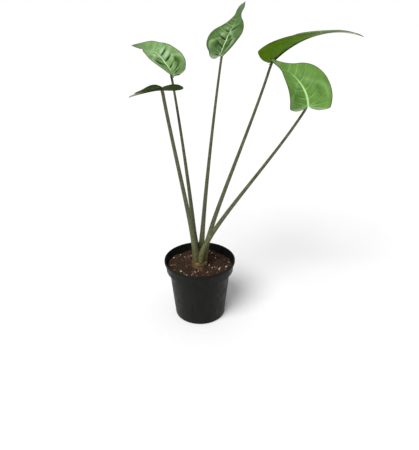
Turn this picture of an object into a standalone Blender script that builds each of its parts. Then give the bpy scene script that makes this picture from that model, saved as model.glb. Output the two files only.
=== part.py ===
"""An alocasia stingray with five leaves, in its nursery pot.

The origin is the centre of the pot's flat base and +Z is up, in metres. The front is -Y.
The pot, the soil and the stem are turned round the Z axis. Each leaf is a dark stalk and a
green blade: the blade is a grid whose rows follow the side veins, laid along an arching
midrib and thickened downwards into ribs.
"""
import math
from collections import namedtuple

import bmesh
import bpy
import numpy as np
from mathutils import Vector, noise

# The gap between two pieces that touch.
GAP = 0.0003
MERGE = 0.00001

# The pot: a 13 cm nursery pot with a stepped collar.
POT_HEIGHT = 0.115
POT_WALL = 0.0015
FLOOR_THICKNESS = 0.002
BASE_RADIUS = 0.047
NECK_RADIUS = 0.056
COLLAR_Z = 0.094
COLLAR_RADIUS = 0.0615
RIM_RADIUS = 0.065
RIM_DEPTH = 0.005
POT_SIDES = 48
DRAIN_HOLES = 8
DRAIN_RADIUS = 0.0045
DRAIN_RING_RADIUS = 0.033

# The soil, with lumps on its top and a hole for the stem.
SOIL_Z = 0.100
SOIL_RINGS = 7
SOIL_LUMP = 0.0028
LUMP_PITCH = 0.013

# The stem: a short stump that stands in the soil and carries the stalks.
STEM_RADIUS = 0.0145
STEM_Z = 0.112
STEM_DEPTH = 0.045
STEM_SIDES = 24

# The stalks.
STALK_RING_RADIUS = 0.0088
STALK_FOOT_RADIUS = 0.0048
STALK_FOOT_RISE = 0.004
STALK_POINTS = 15
STUB_LENGTH = 0.012
STUB_SINK = 0.0018
STUB_REACH = 0.006
STALK_RISE = 0.15
STALK_LEAD = 0.30

# The blades, in metres, and last in shares of a blade's length.
BLADE_THICKNESS = 0.0008
MIDRIB_THICKNESS = 0.0028
MIDRIB_HALF_WIDTH = 0.0034
MIDRIB_SWELL = 0.010
VEIN_THICKNESS = 0.0006
QUILT_HEIGHT = 0.0022
WAVE_HEIGHT = 0.0003
SPREAD_RADIUS = 0.030
HALF_WIDTH = 0.28
VEIN_SWEEP = 0.16
TAIL_START = 0.55

SIDE_VEINS = 9
TAIL_ROWS = 8
COLUMNS = 6
MIDRIB_POWER = 1.35
JOINT_RING = 0.0034
MIDRIB_STEPS = 80

# Half of a blade's outline, from the notch at the stalk, round the basal lobe and along the
# side to the tip of the tail: how far along the midrib and how far out from it.
OUTLINE = (
    (-0.040, 0.045), (-0.066, 0.125), (-0.061, 0.185), (-0.028, 0.240), (0.050, 0.275),
    (0.170, 0.270), (0.300, 0.225), (0.410, 0.160), (0.500, 0.098), (0.600, 0.058),
    (0.740, 0.034), (0.880, 0.018), (1.000, 0.0))
# What a full tail adds to how far out each of those points is.
TAIL_SPARE = (0.0, 0.0, 0.0, 0.0, 0.0, 0.0, 0.0, 0.018, 0.042, 0.055, 0.045, 0.020, 0.0)
# What full shoulders over a narrow waist add to it.
SHOULDER_SPARE = (0.0, 0.006, 0.014, 0.024, 0.034, 0.030, 0.012, -0.014, -0.034, -0.032, 0.0,
                  0.008, 0.0)

# One leaf. joint is where the blade meets its stalk. width widens the outline, and tail and
# shoulder make its tail and its shoulders fuller. heading, pitch and roll are those of the
# midrib in degrees, at its start, middle and end. fold_left and fold_right are how far each half
# rises from flat, in degrees, at the midrib and towards the margin. lobe lengthens the left and
# the right basal lobe, and cup is the radius that they curl up with, against the length, or down
# with where it is less than 0. lean is how much the stalk turns towards the midrib at its end.
# quilting deepens the quilts.
Leaf = namedtuple("Leaf", "name joint length width tail shoulder heading pitch roll fold_left "
                          "fold_right lobe cup foot_angle stalk_radius lean quilting")

LEAVES = (
    Leaf("left", (-0.0419, 0.0370, 0.4329), 0.135, 0.91, 0.97, 0.0,
         (166, 118, 156), (65, 10, 4),
         (-12, 6, 60), (17, -11), (33, 50), (0.6, 0.6), (0.30, 0.30),
         142, 0.0019, 0.20, 1.2),
    Leaf("left_low", (-0.0523, -0.0310, 0.4242), 0.137, 0.97, 0.25, 0.0,
         (117, 125, 116), (-16, -13, -17),
         (-19, -18, -5), (-14, -35), (27, -2), (1.17, 1.05), (0.20, 0.20),
         214, 0.0026, -0.05, 0.2),
    Leaf("middle", (0.0360, 0.0440, 0.4633), 0.126, 1.11, 0.37, 0.83,
         (20, 65, 72), (71, 37, 20),
         (30, 36, 46), (30, 48), (-5, -25), (0.47, 0.44), (-0.08, 0.27),
         70, 0.0019, 0.25, 1.3),
    Leaf("right", (0.1147, 0.0310, 0.4526), 0.178, 1.08, 0.0, 0.5,
         (-6, 17, 30), (47, 11, -17),
         (33, 14, 9), (26, 26), (-8, 8), (0.69, 0.40), (0.19, 0.12),
         -2, 0.0021, -0.08, 0.35),
    Leaf("right_low", (0.1562, -0.0780, 0.4049), 0.120, 1.11, 0.0, 0.0,
         (149, 128, 87), (86, 23, 14),
         (57, 22, 5), (21, 48), (40, 50), (0.8, 0.8), (0.35, 0.35),
         -74, 0.0019, 0.10, 0.4),
)


def clear_scene():
    for old in list(bpy.data.objects):
        bpy.data.objects.remove(old, do_unlink=True)
    for old in list(bpy.data.collections):
        bpy.data.collections.remove(old)


def make_collection(name):
    collection = bpy.data.collections.new(name)
    bpy.context.scene.collection.children.link(collection)
    return collection


def make_material(name, colour, roughness, metallic=0.0):
    material = bpy.data.materials.new(name)
    material.use_nodes = True
    shader = material.node_tree.nodes["Principled BSDF"]
    shader.inputs["Base Color"].default_value = (*colour, 1.0)
    shader.inputs["Roughness"].default_value = roughness
    shader.inputs["Metallic"].default_value = metallic
    material.diffuse_color = (*colour, 1.0)
    return material


def add_object(name, data, collection, material=None):
    made = bpy.data.objects.new(name, data)
    collection.objects.link(made)
    if material:
        data.materials.append(material)
    return made


def mesh_from(bm, name):
    mesh = bpy.data.meshes.new(name)
    bm.to_mesh(mesh)
    bm.free()
    return mesh


def smooth(made, degrees):
    made.data.shade_smooth()
    made.data.set_sharp_from_angle(angle=math.radians(degrees))


def apply_modifiers(made):
    """Replaces the object's mesh by the one that its modifiers give."""
    graph = bpy.context.evaluated_depsgraph_get()
    applied = bpy.data.meshes.new_from_object(made.evaluated_get(graph))
    made.modifiers.clear()
    made.data = applied


def turned(name, profile, sides, collection, material):
    """A solid turned round Z from (radius, height) points, its outer side from top to bottom."""
    bm = bmesh.new()
    points = [bm.verts.new((radius, 0.0, height)) for radius, height in profile]
    for first, second in zip(points, points[1:]):
        bm.edges.new((first, second))
    made = add_object(name, mesh_from(bm, name), collection, material)
    screw = made.modifiers.new("turn", "SCREW")
    screw.steps = sides
    screw.render_steps = sides
    screw.use_merge_vertices = True
    screw.merge_threshold = MERGE
    return made


def pot_profile():
    inner = -POT_WALL
    return (
        (0.0, FLOOR_THICKNESS), (BASE_RADIUS + inner, FLOOR_THICKNESS),
        (NECK_RADIUS + inner, COLLAR_Z), (COLLAR_RADIUS + inner, COLLAR_Z + POT_WALL),
        (RIM_RADIUS - RIM_DEPTH / 2, POT_HEIGHT - RIM_DEPTH / 5),
        (RIM_RADIUS - RIM_DEPTH / 3, POT_HEIGHT), (RIM_RADIUS - RIM_DEPTH / 8, POT_HEIGHT),
        (RIM_RADIUS, POT_HEIGHT - RIM_DEPTH / 5), (RIM_RADIUS, POT_HEIGHT - RIM_DEPTH),
        (COLLAR_RADIUS + POT_WALL, POT_HEIGHT - RIM_DEPTH), (COLLAR_RADIUS, COLLAR_Z),
        (NECK_RADIUS, COLLAR_Z - POT_WALL), (BASE_RADIUS, POT_WALL),
        (BASE_RADIUS - POT_WALL, 0.0), (0.0, 0.0))


def make_pot(collection, cutters, material):
    pot = turned("nursery_pot", pot_profile(), POT_SIDES, collection, material)
    bm = bmesh.new()
    for number in range(DRAIN_HOLES):
        angle = math.tau * number / DRAIN_HOLES
        hole = bmesh.ops.create_cone(bm, cap_ends=True, segments=10, radius1=DRAIN_RADIUS,
                                     radius2=DRAIN_RADIUS, depth=6 * FLOOR_THICKNESS)
        place = Vector((math.cos(angle), math.sin(angle), 0.0)) * DRAIN_RING_RADIUS
        bmesh.ops.translate(bm, verts=hole["verts"], vec=place)
    cutter = add_object("drain_hole_cutter", mesh_from(bm, "drain_hole_cutter"), cutters)
    cutter.hide_render = True
    cutter.display_type = "WIRE"
    cut = pot.modifiers.new("drain holes", "BOOLEAN")
    cut.operation = "DIFFERENCE"
    cut.object = cutter
    return pot


def wall_radius(height):
    """The radius of the soil's side, inside the pot's wall, at a height."""
    clear = POT_WALL + 2 * GAP
    if height > COLLAR_Z + POT_WALL:
        share = (height - COLLAR_Z - POT_WALL) / (POT_HEIGHT - COLLAR_Z - POT_WALL)
        top = RIM_RADIUS - RIM_DEPTH / 2 - 2 * GAP
        return COLLAR_RADIUS - clear + share * (top - COLLAR_RADIUS + clear)
    share = (height - FLOOR_THICKNESS) / (COLLAR_Z - FLOOR_THICKNESS)
    return BASE_RADIUS - clear + share * (NECK_RADIUS - BASE_RADIUS)


def soil_profile():
    hole = STEM_RADIUS + GAP
    edge = wall_radius(SOIL_Z)
    top = [(hole + (edge - hole) * ring / SOIL_RINGS, SOIL_Z) for ring in range(SOIL_RINGS + 1)]
    floor_z = FLOOR_THICKNESS + GAP
    step_z = COLLAR_Z + POT_WALL + GAP
    return [(0.0, STEM_Z - STEM_DEPTH - STEM_RADIUS), (hole, STEM_Z - STEM_DEPTH - STEM_RADIUS),
            *top, (COLLAR_RADIUS - POT_WALL - 2 * GAP, step_z),
            (wall_radius(COLLAR_Z), COLLAR_Z), (wall_radius(floor_z), floor_z), (0.0, floor_z)]


def make_soil(collection, material):
    soil = turned("potting_soil", soil_profile(), POT_SIDES, collection, material)
    apply_modifiers(soil)
    inside = STEM_RADIUS + 3 * GAP
    outside = wall_radius(SOIL_Z) - 3 * GAP
    for vertex in soil.data.vertices:
        radius = math.hypot(vertex.co.x, vertex.co.y)
        if vertex.co.z > SOIL_Z - MERGE and inside < radius < outside:
            vertex.co.z += SOIL_LUMP * noise.noise(vertex.co / LUMP_PITCH)
    return soil


def make_stem(collection, material):
    """The stump: old leaf scars ring it, and it narrows to a blunt foot in the soil."""
    foot_z = STEM_Z - STEM_DEPTH
    scar = STEM_RADIUS * 0.95
    profile = [(0.0, STEM_Z), (scar, STEM_Z)]
    for height in (STEM_Z - 0.003, STEM_Z - 0.008):
        profile += [(STEM_RADIUS, height), (scar, height - 0.001)]
    profile += [(STEM_RADIUS, foot_z), (STEM_RADIUS * 0.5, foot_z - STEM_RADIUS + GAP),
                (0.0, foot_z - STEM_RADIUS + GAP)]
    return turned("stem", profile, STEM_SIDES, collection, material)


def along(values, share):
    """Runs smoothly through three values, at the start, the middle and the end."""
    start, middle, end = values
    return (start * (2 * share - 1) * (share - 1) + middle * 4 * share * (1 - share)
            + end * share * (2 * share - 1))


class Midrib:
    """A blade's midrib, with its forward, left and up directions at each step."""

    def __init__(self, leaf):
        self.leaf = leaf
        self.share = np.linspace(0.0, 1.0, MIDRIB_STEPS + 1)
        angles = (leaf.heading, leaf.pitch, leaf.roll)
        heading, pitch, roll = (np.radians(along(values, self.share)) for values in angles)
        level = np.stack([np.cos(heading), np.sin(heading), 0 * heading], -1)
        z_axis = np.array((0.0, 0.0, 1.0))
        cos_pitch, sin_pitch = np.cos(pitch)[:, None], np.sin(pitch)[:, None]
        cos_roll, sin_roll = np.cos(roll)[:, None], np.sin(roll)[:, None]
        self.forward = level * cos_pitch + z_axis * sin_pitch
        upward = z_axis * cos_pitch - level * sin_pitch
        leftward = np.cross(upward, self.forward)
        self.up = upward * cos_roll + leftward * sin_roll
        self.left = leftward * cos_roll - upward * sin_roll
        steps = (self.forward[1:] + self.forward[:-1]) / 2 * leaf.length / MIDRIB_STEPS
        self.place = np.array(leaf.joint) + np.vstack([np.zeros(3), np.cumsum(steps, axis=0)])

    def read(self, table, share):
        share = min(max(share, 0.0), 1.0)
        return np.array([np.interp(share, self.share, table[:, axis]) for axis in range(3)])

    def frame(self, share, side=1):
        """Place, forward, left and up; behind the joint the frame curls into a side's lobe."""
        place, forward, left, up = (
            self.read(table, share) for table in (self.place, self.forward, self.left, self.up))
        cup = self.leaf.cup[0 if side > 0 else 1]
        turn = max(-share, 0.0) / cup
        radius = cup * self.leaf.length
        place = place - forward * math.sin(turn) * radius + up * (1 - math.cos(turn)) * radius
        return place, forward, left, up * math.cos(turn) + forward * math.sin(turn)


def outline_spline(leaf):
    """The outline's points, the length along it at each, and its direction there."""
    points = np.array(OUTLINE)
    points[:, 1] += leaf.tail * np.array(TAIL_SPARE) + leaf.shoulder * np.array(SHOULDER_SPARE)
    length = np.append(0.0, np.cumsum(np.linalg.norm(np.diff(points, axis=0), axis=1)))
    slope = np.gradient(points, length, axis=0)
    return points, length, slope


def outline_at(leaf, distance):
    """A point on the outline, a distance from the notch along it."""
    points, length, slope = outline_spline(leaf)
    span = int(np.clip(np.searchsorted(length, distance, side="right") - 1, 0, len(length) - 2))
    size = length[span + 1] - length[span]
    x = (distance - length[span]) / size
    return ((2 * x**3 - 3 * x**2 + 1) * points[span] + (x**3 - 2 * x**2 + x) * size * slope[span]
            + (3 * x**2 - 2 * x**3) * points[span + 1] + (x**3 - x**2) * size * slope[span + 1])


def row_margin(leaf, row):
    """Where a row meets the margin. Rows 0, 2, 4 and so on lie on side veins."""
    points, length, _ = outline_spline(leaf)
    body = float(np.interp(TAIL_START, points[4:, 0], length[4:]))
    if row <= 2 * SIDE_VEINS:
        return outline_at(leaf, body * row / (2 * SIDE_VEINS))
    return outline_at(leaf, body + (length[-1] - body) * (row - 2 * SIDE_VEINS) / TAIL_ROWS)


def row_point(leaf, row, out):
    """A point of a row, from 0 at the midrib to 1 at the margin, along and out of the midrib.

    The first rows fan out straight from the joint. The later ones leave the midrib steeply
    and bend towards the tip, as a side vein does.
    """
    end, half = row_margin(leaf, row)
    start = max(0.0, end - VEIN_SWEEP * half / HALF_WIDTH)
    steep = min(start / VEIN_SWEEP, 1.0)
    bend, bend_out = start + (0.5 - 0.3 * steep) * (end - start), (0.5 + 0.1 * steep) * half
    place = (1 - out)**2 * start + 2 * out * (1 - out) * bend + out**2 * end
    return place, 2 * out * (1 - out) * bend_out + out**2 * half


def column_power(leaf, row):
    """How the columns are spaced: in the fan round the joint, the first one is a ring."""
    start, _ = row_point(leaf, row, 0.0)
    if start > 0.0:
        return MIDRIB_POWER
    end, half = row_margin(leaf, row)
    ring = JOINT_RING / (math.hypot(end, half) * leaf.length)
    return min(math.log(ring) / math.log(1 / COLUMNS), MIDRIB_POWER)


def from_joint(leaf, row, out):
    """From 0 at the joint, where the rows crowd together, to 1 where they have spread."""
    place, half = row_point(leaf, row, out)
    return min(math.hypot(place, half) * leaf.length / SPREAD_RADIUS, 1.0)**2


def relief(leaf, row, out, side):
    """How far the upper face rises: quilts between the side veins, and a slow wave."""
    fade = min(max((2 * SIDE_VEINS - row) / 4, 0.0), 1.0) * from_joint(leaf, row, out)
    quilt = 0.5 - 0.5 * math.cos(math.pi * row)
    near = min(out / 0.22, 1.0) * (1 - out)
    wave = math.sin(1.1 * row + side) * out**2
    return fade * leaf.quilting * (QUILT_HEIGHT * quilt * near + WAVE_HEIGHT * wave)


def thickness(leaf, row, out):
    """Thick along the midrib, thinner at the joint, a little thicker on each side vein."""
    place, half = row_point(leaf, row, out)
    reach = math.hypot(min(place, 0.0), half) * leaf.length
    swell = 0.4 + 0.6 * min(max(place * leaf.length / MIDRIB_SWELL, 0.0), 1.0)
    ridge = swell * MIDRIB_THICKNESS * math.exp(-(reach / MIDRIB_HALF_WIDTH)**2)
    ridge *= (1 - max(place, 0.0))**2
    on_vein = row % 2 == 0 and row <= 2 * SIDE_VEINS
    vein = VEIN_THICKNESS * (1 - out) * from_joint(leaf, row, out) if on_vein else 0.0
    return BLADE_THICKNESS + ridge + vein


def blade_point(leaf, midrib, row, out, side):
    """A point of the upper face. side is 1 on the left half and -1 on the right half."""
    place, half = row_point(leaf, row, out)
    lobe = leaf.lobe[0 if side > 0 else 1]
    start, forward, left, up = midrib.frame(place * lobe if place < 0 else place, side)
    inner, outer = leaf.fold_left if side > 0 else leaf.fold_right
    fold = math.radians(inner + (outer - inner) * half / HALF_WIDTH / 2)
    reach = half * leaf.length * leaf.width
    rise = reach * math.sin(fold) + relief(leaf, row, out, side)
    return Vector(start + left * side * reach * math.cos(fold) + up * rise)


def blade_sheet(leaf):
    """The upper face as an open sheet, with the thickness at each point as a vertex group."""
    midrib = Midrib(leaf)
    rows = 2 * SIDE_VEINS + TAIL_ROWS
    bm = bmesh.new()
    bmesh.ops.create_grid(bm, x_segments=2 * COLUMNS, y_segments=rows, size=1.0)
    weights = bm.verts.layers.deform.verify()
    most = BLADE_THICKNESS + MIDRIB_THICKNESS + VEIN_THICKNESS
    for vertex in bm.verts:
        row = round((vertex.co.y + 1) / 2 * rows)
        side = -1 if vertex.co.x > 0 else 1
        out = abs(vertex.co.x)**column_power(leaf, row)
        vertex.co = blade_point(leaf, midrib, row, out, side)
        vertex[weights][0] = thickness(leaf, row, out) / most
    bmesh.ops.remove_doubles(bm, verts=bm.verts, dist=MERGE)
    bmesh.ops.dissolve_degenerate(bm, edges=bm.edges, dist=MERGE)
    bmesh.ops.triangulate(bm, faces=bm.faces, quad_method="SHORT_EDGE")
    return mesh_from(bm, "blade_" + leaf.name)


def stalk_frame(leaf):
    """Where the stalk ends under the joint, and its direction there."""
    place, forward, _, up = Midrib(leaf).frame(0.0)
    end = place - up * STUB_SINK
    foot = stalk_foot(leaf)
    chord = (end - foot) / np.linalg.norm(end - foot)
    aim = chord + leaf.lean * forward
    return end, aim / np.linalg.norm(aim), forward


def stalk_foot(leaf):
    """Where the stalk starts to lean, a little above its flat foot on the stem."""
    angle = math.radians(leaf.foot_angle)
    ring = STALK_RING_RADIUS
    return np.array((ring * math.cos(angle), ring * math.sin(angle), STEM_Z + STALK_FOOT_RISE))


def stalk_point(leaf, share):
    """A point on the stalk's route: straight up from the stem, then leaning to the joint."""
    foot = stalk_foot(leaf)
    end, aim, _ = stalk_frame(leaf)
    reach = np.linalg.norm(end - foot)
    rise = foot + np.array((0.0, 0.0, STALK_RISE * reach))
    lead = end - aim * STALK_LEAD * reach
    rest = 1 - share
    return (rest**3 * foot + 3 * rest**2 * share * rise + 3 * rest * share**2 * lead
            + share**3 * end)


def tube(name, points, radii, collection):
    """A closed tube along points, as a mesh with its caps welded."""
    curve = bpy.data.curves.new(name, "CURVE")
    curve.dimensions = "3D"
    curve.bevel_depth = 1.0
    curve.bevel_resolution = 2
    curve.use_fill_caps = True
    spline = curve.splines.new("POLY")
    spline.points.add(len(points) - 1)
    for spline_point, place, radius in zip(spline.points, points, radii):
        spline_point.co = (*place, 1.0)
        spline_point.radius = radius
    guide = add_object(name, curve, collection)
    graph = bpy.context.evaluated_depsgraph_get()
    mesh = bpy.data.meshes.new_from_object(guide.evaluated_get(graph))
    bpy.data.objects.remove(guide, do_unlink=True)
    bm = bmesh.new()
    bm.from_mesh(mesh)
    bmesh.ops.remove_doubles(bm, verts=bm.verts, dist=MERGE)
    bmesh.ops.recalc_face_normals(bm, faces=bm.faces)
    bm.to_mesh(mesh)
    bm.free()
    return mesh


def make_stalk(leaf, collection, material):
    """The stalk, thick at its foot, up to the stub that grows from its blade."""
    end, _, _ = stalk_frame(leaf)
    length = np.linalg.norm(end - stalk_foot(leaf))
    last = 1 - (STUB_LENGTH + GAP) / length
    shares = [last * number / (STALK_POINTS - 1) for number in range(STALK_POINTS)]
    swell = STALK_FOOT_RADIUS - leaf.stalk_radius
    radii = [leaf.stalk_radius + swell * (1 - share)**1.5 for share in shares]
    points = [stalk_point(leaf, share) for share in shares]
    standing = points[0] - np.array((0.0, 0.0, STALK_FOOT_RISE - GAP))
    mesh = tube("petiole_" + leaf.name, [standing, *points], [radii[0], *radii], collection)
    return add_object("petiole_" + leaf.name, mesh, collection, material)


def make_stub(leaf, collection):
    """The short end of the stalk that bends into the midrib, as a mesh."""
    end, _, forward = stalk_frame(leaf)
    length = np.linalg.norm(end - stalk_foot(leaf))
    start = stalk_point(leaf, 1 - STUB_LENGTH / length)
    finish = end + forward * STUB_REACH
    points = [(1 - share)**2 * start + 2 * share * (1 - share) * end + share**2 * finish
              for share in np.linspace(0.0, 1.0, 6)]
    radii = np.interp(range(6), (0, 3, 5), (1.0, 0.95, 0.6)) * leaf.stalk_radius
    return tube("stub_" + leaf.name, points, radii, collection)


def make_blade(leaf, collection, material):
    """The blade: the sheet made solid downwards, joined to the stub of its stalk."""
    blade = add_object("blade_" + leaf.name, blade_sheet(leaf), collection, material)
    blade.vertex_groups.new(name="thickness")
    solid = blade.modifiers.new("thickness", "SOLIDIFY")
    solid.thickness = BLADE_THICKNESS + MIDRIB_THICKNESS + VEIN_THICKNESS
    solid.offset = -1.0
    solid.vertex_group = "thickness"
    apply_modifiers(blade)
    stub = add_object("stub", make_stub(leaf, collection), collection)
    join = blade.modifiers.new("stub", "BOOLEAN")
    join.operation = "UNION"
    join.object = stub
    apply_modifiers(blade)
    bpy.data.objects.remove(stub, do_unlink=True)
    return blade


def main():
    clear_scene()
    parts = make_collection("alocasia_stingray")
    cutters = make_collection("cutters")
    plastic = make_material("black_pot_plastic", (0.012, 0.012, 0.011), 0.55)
    earth = make_material("potting_soil", (0.030, 0.020, 0.012), 0.95)
    bark = make_material("stem_skin", (0.120, 0.085, 0.045), 0.70)
    stalk = make_material("mottled_stalk_skin", (0.075, 0.075, 0.035), 0.45)
    green = make_material("leaf_green", (0.120, 0.240, 0.065), 0.40)
    smooth(make_pot(parts, cutters, plastic), 30)
    smooth(make_soil(parts, earth), 60)
    smooth(make_stem(parts, bark), 30)
    for leaf in LEAVES:
        smooth(make_stalk(leaf, parts, stalk), 50)
        smooth(make_blade(leaf, parts, green), 50)


main()
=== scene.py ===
"""The looks of a potted alocasia stingray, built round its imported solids.

Every piece stands where its solid does: the blades and stalks repeat the solids' own formulas
on a finer grid, with their veins, quilts and skins, and the pot, the soil and the stem are
turned again with their rounded edges, crumbs and fibres. Metres, +Z up, front towards -Y.
"""
import math
import random
from collections import namedtuple

import bmesh
import bpy
import numpy as np
from mathutils import Matrix, Vector, noise


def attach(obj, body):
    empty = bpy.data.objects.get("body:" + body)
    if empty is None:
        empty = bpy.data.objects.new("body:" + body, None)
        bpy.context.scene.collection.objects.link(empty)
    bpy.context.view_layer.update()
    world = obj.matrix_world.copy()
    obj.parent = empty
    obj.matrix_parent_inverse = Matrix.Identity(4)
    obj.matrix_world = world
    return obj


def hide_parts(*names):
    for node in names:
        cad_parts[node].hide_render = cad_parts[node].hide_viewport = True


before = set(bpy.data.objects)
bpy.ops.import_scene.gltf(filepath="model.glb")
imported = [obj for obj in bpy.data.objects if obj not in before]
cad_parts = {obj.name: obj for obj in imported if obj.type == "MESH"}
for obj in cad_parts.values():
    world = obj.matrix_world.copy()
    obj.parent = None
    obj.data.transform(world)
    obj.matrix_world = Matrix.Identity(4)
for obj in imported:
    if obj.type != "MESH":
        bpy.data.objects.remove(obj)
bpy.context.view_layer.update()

MM = 0.001
MERGE = 0.00001
# The gap between two pieces that touch, and the one between the soil's side and the pot.
GAP = 0.0003
SOIL_GAP = 0.0004

# The pot, the soil and the stem, as their solids have them.
POT_HEIGHT = 0.115
POT_WALL = 0.0015
FLOOR_THICKNESS = 0.002
BASE_RADIUS = 0.047
NECK_RADIUS = 0.056
COLLAR_Z = 0.094
COLLAR_RADIUS = 0.0615
RIM_RADIUS = 0.065
RIM_DEPTH = 0.005
DRAIN_HOLES = 8
DRAIN_RADIUS = 0.0045
DRAIN_RING_RADIUS = 0.033
SOIL_Z = 0.100
SOIL_LUMP = 0.0028
LUMP_PITCH = 0.013
STEM_RADIUS = 0.0145
STEM_Z = 0.112
STEM_DEPTH = 0.045

# What their solids don't have: the pot's rounded corner and edges, the height and the width of the
# soil's finer lumps, how far its grains stay from the stem, and the stem's rings of scars and its
# fibres, which rise by a share of its radius.
FLOOR_CORNER = 0.002
MOULDED_EDGE = 0.0004
POT_SIDES = 160
SOIL_SIDES = 200
SOIL_RINGS = 60
STEM_SIDES = 96
STEM_STEPS = 60
FINE_LUMPS = ((0.0012, 0.004), (0.0007, 0.0017))
GRAIN_CLEARANCE = 0.003
GRAIN_LUMP = 0.45
STEM_SHOULDER = 0.0015
SCAR_RINGS = 5.5
SCAR_RADIUS = 0.96
SCAR_RISE = 0.05
FIBRE_RISE = 0.05
FIBRE_WIDTH = 0.004

# The stalks, with the sheath's angles in radians from its opening.
STALK_RING_RADIUS = 0.0088
STALK_FOOT_RADIUS = 0.0048
STALK_FOOT_RISE = 0.004
STUB_LENGTH = 0.012
STUB_SINK = 0.0018
STUB_REACH = 0.006
STALK_RISE = 0.15
STALK_LEAD = 0.30
STALK_SIDES = 28
STALK_STEPS = 170
SHEATH_LENGTH = 0.055
SHEATH_WHOLE = 0.004
SHEATH_THICKNESS = 0.0010
OPENING_DEPTH = 0.0022
OPENING_HALF_ANGLE = 0.45
LIP_HEIGHT = 0.0018
LIP_ANGLE = 0.75
LIP_HALF_ANGLE = 0.22
NECK_START = 0.972
NECK_THINNER = 0.45

# The blades, with a skin thinner than the solid's.
SKIN_THICKNESS = 0.0006
KEEL_THICKNESS = 0.0026
KEEL_HALF_WIDTH = 0.0026
KEEL_SWELL = 0.010
RIB_THICKNESS = 0.0006
RIB_HALF_WIDTH = 0.0007
SPREAD_RADIUS = 0.030
# Shares of a blade's length, and then of its keel's thickness.
HALF_WIDTH = 0.28
VEIN_SWEEP = 0.16
TAIL_START = 0.55
TIP_START = 0.85
KEEL_AT_JOINT = 0.4
KEEL_AT_TIP = 0.4

# The forms of a blade's upper face. A pair is where a form is nothing and where it is whole.
WAVE_HEIGHT = 0.0003
GROOVE_DEPTH = 0.0003
GROOVE_HALF_WIDTH = 0.0011
QUILT_HEIGHT = 0.0022
QUILT_FOOT = 0.22
QUILT_FADE = (1.0, 0.25)
CREASE_DEPTH = 0.0016
CREASE_OFF_VEIN = 0.0016
CREASE_HALF_WIDTH = 0.0014
CREASE_WIDENS = 0.06
CREASE_VARIES = 0.35
CREASE_START = (0.001, 0.006)
CREASE_END = (0.024, 0.007)
CREASE_FADE = (0.50, 0.28)
MIDDLE_ROW = 10
HOLLOW_DEPTH = 0.0018
HOLLOW_HALF_WIDTH = 0.15
HOLLOW_ROWS = 1.9
RIDGE_HEIGHT = 0.0008
RIDGE_OUT = 0.28
RIDGE_CLOSES = 0.56
RIDGE_CLOSING_ROWS = (8, 14.5)
RIDGE_HALF_WIDTH = 0.07
RIDGE_ROWS = 4.0
RIDGE_FADE = (1.0, 0.9)

SIDE_VEINS = 9
TAIL_ROWS = 8
ROW_STEPS = 12
COLUMNS = 30
MIDRIB_POWER = 1.35
JOINT_RING = 0.0008
MIDRIB_STEPS = 240

# The net of veins in the skin: how wide its cells are, and how far noise bends them.
NET_CELL = 0.0013
NET_BEND = 0.0012

# The camera, where the photo was taken from, and the floor.
CAMERA_PLACE = (0.018, -0.707, 0.520)
CAMERA_DIP = 25.5
FLOOR_RADIUS = 12.0

# Half of a blade's outline, from the notch at the stalk, round the basal lobe and along the
# side to the tip of the tail: how far along the midrib and how far out from it.
OUTLINE = (
    (-0.040, 0.045), (-0.066, 0.125), (-0.061, 0.185), (-0.028, 0.240), (0.050, 0.275),
    (0.170, 0.270), (0.300, 0.225), (0.410, 0.160), (0.500, 0.098), (0.600, 0.058),
    (0.740, 0.034), (0.880, 0.018), (1.000, 0.0))
# What a full tail adds to how far out each of those points is.
TAIL_SPARE = (0.0, 0.0, 0.0, 0.0, 0.0, 0.0, 0.0, 0.018, 0.042, 0.055, 0.045, 0.020, 0.0)
# What full shoulders over a narrow waist add to it.
SHOULDER_SPARE = (0.0, 0.006, 0.014, 0.024, 0.034, 0.030, 0.012, -0.014, -0.034, -0.032, 0.0,
                  0.008, 0.0)

# One leaf, with the solid's values. width, tail and shoulder widen the outline, its tail and its
# shoulders. heading, pitch and roll are the midrib's in degrees, at its start, middle and end.
# fold_left and fold_right are how far each half rises from flat, in degrees, at the midrib and
# towards the margin. lobe lengthens the left and the right basal lobe, and cup is the radius that
# they curl up with, against the length, or down with where it is less than 0. lean turns the
# stalk's end towards the midrib, and quilting deepens the forms. age is 0 for a fresh
# yellow-green leaf, GROWN_AGE for a grown one, whose middle quilts get a painted blue-white
# highlight, and 1 for a dark one: its darker greens stand partly for how old the leaf is and
# partly for painted shade on a leaf that lies in the shade of others. dip is how far out the soft
# hollow in each half lies.
GROWN_AGE = 0.3
Leaf = namedtuple("Leaf", "name joint length width tail shoulder heading pitch roll fold_left "
                          "fold_right lobe cup foot_angle stalk_radius lean quilting age dip")

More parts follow.
